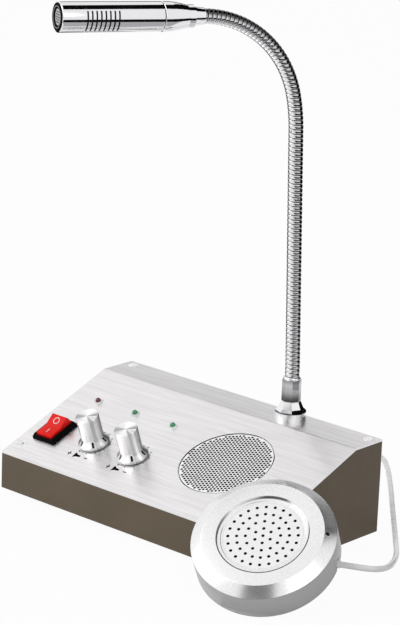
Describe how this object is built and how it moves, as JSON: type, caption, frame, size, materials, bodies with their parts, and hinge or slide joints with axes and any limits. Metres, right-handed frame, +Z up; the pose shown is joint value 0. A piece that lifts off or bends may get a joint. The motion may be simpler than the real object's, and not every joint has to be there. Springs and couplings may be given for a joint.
{
  "type": "teller window intercom",
  "caption": "Wedge-shaped counter intercom with brushed face plate, gooseneck microphone, volume knobs, rocker switch and a small round station on a cord.",
  "frame": {"origin": "on the table, under the middle of the case's footprint", "axes": "+X right along the face as its user sees it, +Y to the back where the sockets are, +Z up"},
  "size_m": [0.247, 0.2491, 0.2813],
  "materials": {
    "face_aluminium": "brushed along the width",
    "case_paint": "satin",
    "bright_metal": "polished",
    "turned_metal": "spun",
    "plain_steel": "plain",
    "station_metal": "brushed",
    "station_paint": "satin silver",
    "black_plastic": "fine grain",
    "red_rocker": "gloss",
    "clear_lens": "gloss",
    "red_lamp": "gloss",
    "green_lamp": "gloss",
    "rubber_black": "matt",
    "board_green": "satin",
    "paper_black": "matt",
    "magnet_grey": "plain",
    "cord_white": "satin",
    "socket_metal": "nickel plated"
  },
  "bodies": {
    "base": {"plate_screws": "plain_steel", "cover_screws": "plain_steel", "case_shell": "case_paint", "bottom_cover": "case_paint", "rubber_feet": "rubber_black", "face_plate": "face_aluminium", "speaker_grille": "face_aluminium", "speaker_basket": "plain_steel", "speaker_cone": "paper_black", "speaker_magnet": "magnet_grey", "volume_pot_left": "plain_steel", "volume_pot_right": "plain_steel", "pot_nuts": "plain_steel", "switch_housing": "black_plastic", "switch_tabs": "socket_metal", "lamp_rings": "clear_lens", "lamp_power": "red_lamp", "lamp_out": "green_lamp", "lamp_in": "green_lamp", "neck_washer": "bright_metal", "neck_stem": "plain_steel", "neck_lock_nut": "plain_steel", "neck_nut": "bright_metal", "neck_stub": "bright_metal", "station_rim": "station_metal", "station_mic": "black_plastic", "station_grille": "station_metal", "station_driver": "magnet_grey", "station_cup": "station_paint", "station_gland": "rubber_black", "station_pad": "rubber_black", "main_board": "board_green", "amplifier_chip": "black_plastic", "capacitors": "black_plastic", "station_socket": "black_plastic", "record_socket": "black_plastic", "socket_nuts": "socket_metal", "power_socket": "black_plastic", "station_cord": "cord_white", "cord_coil": "cord_white", "cord_plug": "black_plastic", "cord_tail": "cord_white"},
    "knob_left": {"knob_left": "turned_metal", "knob_shaft_left": "plain_steel"},
    "knob_right": {"knob_right": "turned_metal", "knob_shaft_right": "plain_steel"},
    "rocker": {"rocker": "red_rocker"},
    "head": {"neck_length_6": "bright_metal", "mic_sleeve": "bright_metal", "mic_barrel": "bright_metal", "mic_tip_ring": "black_plastic", "mic_tip_grille": "turned_metal", "mic_capsule": "plain_steel"},
    "neck_1": {"neck_length_1": "bright_metal"},
    "neck_2": {"neck_length_2": "bright_metal"},
    "neck_3": {"neck_length_3": "bright_metal"},
    "neck_4": {"neck_length_4": "bright_metal"},
    "neck_5": {"neck_length_5": "bright_metal"}
  },
  "joints": [
    {"name": "left_volume_turn", "type": "hinge", "parent": "base", "child": "knob_left", "pos_m": [-0.04605, -0.02413, 0.03424], "axis": [0, -0.3617, 0.9323], "range_deg": [-150, 150]},
    {"name": "right_volume_turn", "type": "hinge", "parent": "base", "child": "knob_right", "pos_m": [-0.01755, -0.02413, 0.03424], "axis": [0, -0.3617, 0.9323], "range_deg": [-150, 150]},
    {"name": "rocker_rock", "type": "hinge", "parent": "base", "child": "rocker", "pos_m": [-0.0743, -0.02594, 0.03461], "axis": [1, 0, 0], "range_deg": [-24, 0]},
    {"name": "bend_1", "type": "hinge", "parent": "base", "child": "neck_1", "pos_m": [0.0344, 0.0413, 0.0835], "axis": [0.9041, -0.4274, 0], "range_deg": [-25, 20]},
    {"name": "swing_2", "type": "hinge", "parent": "neck_1", "child": "neck_2", "pos_m": [0.0338, 0.04003, 0.11982], "axis": [-0.427, -0.9034, -0.0387], "range_deg": [-30, 30]},
    {"name": "bend_3", "type": "hinge", "parent": "neck_2", "child": "neck_3", "pos_m": [0.0332, 0.03875, 0.15615], "axis": [0.9041, -0.4274, 0], "range_deg": [-30, 20]},
    {"name": "swing_4", "type": "hinge", "parent": "neck_3", "child": "neck_4", "pos_m": [0.03259, 0.03748, 0.19247], "axis": [-0.427, -0.9034, -0.0387], "range_deg": [-30, 30]},
    {"name": "bend_5", "type": "hinge", "parent": "neck_4", "child": "neck_5", "pos_m": [0.0313, 0.03475, 0.22886], "axis": [0.9041, -0.4274, 0], "range_deg": [-40, 15]},
    {"name": "swing_6", "type": "hinge", "parent": "neck_5", "child": "head", "pos_m": [0.02337, 0.01798, 0.25911], "axis": [-0.2717, -0.5748, -0.7718], "range_deg": [-35, 35]}
  ]
}
